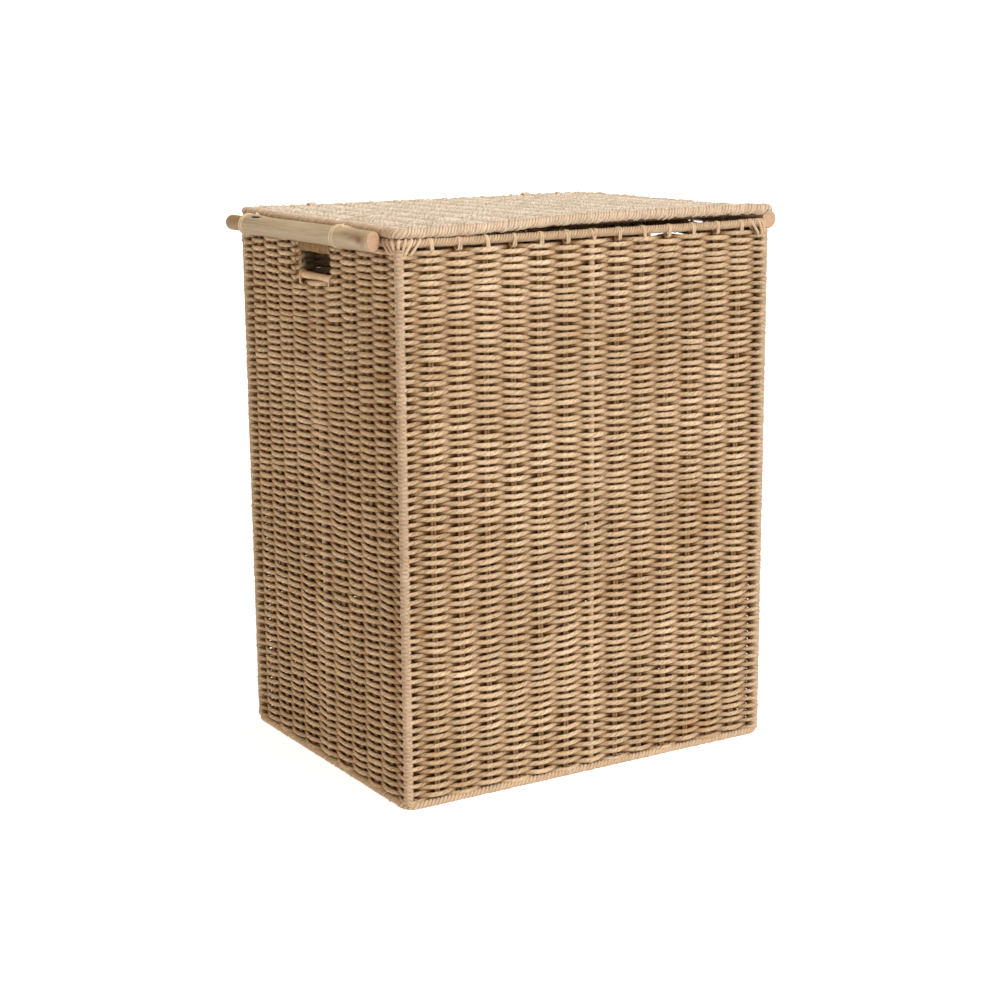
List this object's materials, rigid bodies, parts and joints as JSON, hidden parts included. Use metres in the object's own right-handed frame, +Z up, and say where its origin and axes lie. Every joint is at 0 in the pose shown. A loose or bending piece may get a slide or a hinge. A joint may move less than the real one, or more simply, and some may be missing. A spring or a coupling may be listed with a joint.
{
  "type": "woven laundry basket",
  "caption": "Tall rectangular laundry basket woven from twisted paper rope, with a hinged woven lid, a hand hole in each short side and bamboo pole handles.",
  "frame": {"origin": "middle of the footprint at floor level, under the centre of the closed basket", "axes": "+Z up, -Y out of the long front wall, +X to the right seen from the front; the hinge is along the back, at +Y"},
  "size_m": [0.5124, 0.3673, 0.6005],
  "materials": {
    "rope_weave": "matte",
    "lid_rope": "matte",
    "lid_edge_rope": "matte",
    "rim_rope": "matte",
    "wrapped_bar": "matte",
    "stake_cord": "matte",
    "binding_cord": "matte",
    "rattan_core": "matte",
    "bamboo": "satin",
    "frame_wire": "satin"
  },
  "bodies": {
    "basket": {"back_centre_upright": "rattan_core", "back_left_corner_post": "rattan_core", "back_right_corner_post": "rattan_core", "back_stakes": "stake_cord", "back_wall_weave": "rope_weave", "base_border": "rope_weave", "bottom_ring": "frame_wire", "corner_lashings": "binding_cord", "floor_rods": "rattan_core", "floor_stakes": "stake_cord", "floor_weave": "rope_weave", "front_centre_upright": "rattan_core", "front_left_corner_post": "rattan_core", "front_right_corner_post": "rattan_core", "front_stakes": "stake_cord", "front_wall_weave": "rope_weave", "left_back_pole_tie": "binding_cord", "left_bamboo_pole": "bamboo", "left_centre_upright": "rattan_core", "left_front_pole_tie": "binding_cord", "left_hand_hole_lower_bar": "wrapped_bar", "left_hand_hole_top_bar": "wrapped_bar", "left_hinge_tie": "binding_cord", "left_stakes": "stake_cord", "left_wall_weave": "rope_weave", "middle_ring": "frame_wire", "right_back_pole_tie": "binding_cord", "right_bamboo_pole": "bamboo", "right_centre_upright": "rattan_core", "right_front_pole_tie": "binding_cord", "right_hand_hole_lower_bar": "wrapped_bar", "right_hand_hole_top_bar": "wrapped_bar", "right_hinge_tie": "binding_cord", "right_stakes": "stake_cord", "right_wall_weave": "rope_weave", "rim_bindings": "binding_cord", "rim_wrapping": "rim_rope", "top_ring": "frame_wire"},
    "lid": {"lid_edge_wrapping": "lid_edge_rope", "lid_ring": "frame_wire", "lid_rods": "rattan_core", "lid_stakes": "stake_cord", "lid_weave": "lid_rope"}
  },
  "joints": [
    {"name": "lid_hinge", "type": "hinge", "parent": "basket", "child": "lid", "pos_m": [0, 0.1768, 0.59265], "axis": [-1, 0, 0], "range_deg": [0, 200]}
  ]
}
